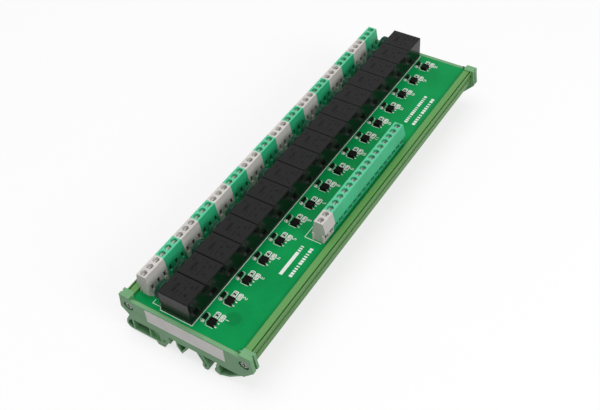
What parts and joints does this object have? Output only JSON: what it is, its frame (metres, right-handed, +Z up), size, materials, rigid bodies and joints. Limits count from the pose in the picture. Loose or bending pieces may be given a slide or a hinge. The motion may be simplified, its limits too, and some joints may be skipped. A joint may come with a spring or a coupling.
{
  "type": "relay module board",
  "caption": "Long row of relays with screw terminals on a circuit board, held in an extruded carrier with end caps whose moulded feet clip onto a mounting rail.",
  "frame": {"origin": "under the middle of the part, level with the lowest hooks of the rail feet", "axes": "+X along the board, +Y towards the relay output terminals, +Z up out of the board"},
  "size_m": [0.2561, 0.0846, 0.0436],
  "materials": {
    "carrier_green": "extruded semi-matt",
    "cap_green": "moulded satin",
    "blackened_steel": "dark plated",
    "label_paper": "satin film, blank",
    "board_green": "glossy solder mask",
    "relay_black": "smooth, satin top",
    "terminal_grey": "moulded satin",
    "terminal_green": "moulded satin",
    "plated_steel": "nickel plated",
    "tinned_pin": "tinned",
    "varistor_green": "dipped coat",
    "chip_black": "moulded epoxy",
    "resistor_ceramic": "film resistor with tinned ends",
    "led_resin": "clear resin"
  },
  "bodies": {
    "root": {"carrier_profile": "carrier_green", "end_cap_near": "cap_green", "end_cap_far": "cap_green", "end_cap_screws": "blackened_steel", "label": "label_paper", "circuit_board": "board_green", "relay_01": "relay_black", "relay_02": "relay_black", "relay_03": "relay_black", "relay_04": "relay_black", "relay_05": "relay_black", "relay_06": "relay_black", "relay_07": "relay_black", "relay_08": "relay_black", "relay_09": "relay_black", "relay_10": "relay_black", "relay_11": "relay_black", "relay_12": "relay_black", "relay_13": "relay_black", "relay_14": "relay_black", "relay_15": "relay_black", "relay_16": "relay_black", "output_terminal_01": "terminal_grey", "output_terminal_02": "terminal_green", "output_terminal_03": "terminal_grey", "output_terminal_04": "terminal_green", "output_terminal_05": "terminal_grey", "output_terminal_06": "terminal_green", "output_terminal_07": "terminal_grey", "output_terminal_08": "terminal_green", "output_terminal_09": "terminal_grey", "output_terminal_10": "terminal_green", "output_terminal_11": "terminal_grey", "output_terminal_12": "terminal_green", "output_terminal_13": "terminal_grey", "output_terminal_14": "terminal_green", "output_terminal_15": "terminal_grey", "output_terminal_16": "terminal_green", "input_terminal_01": "terminal_grey", "input_terminal_02": "terminal_green", "input_terminal_03": "terminal_green", "input_terminal_04": "terminal_green", "input_terminal_05": "terminal_green", "input_terminal_06": "terminal_green", "input_terminal_07": "terminal_green", "input_terminal_08": "terminal_green", "input_terminal_09": "terminal_green", "output_clamps": "plated_steel", "output_screws": "plated_steel", "output_pins": "tinned_pin", "input_clamps": "plated_steel", "input_screws": "plated_steel", "input_pins": "tinned_pin", "varistors": "varistor_green", "diodes": "chip_black", "optocouplers": "chip_black", "resistors": "resistor_ceramic", "status_leds": "led_resin"}
  },
  "joints": []
}
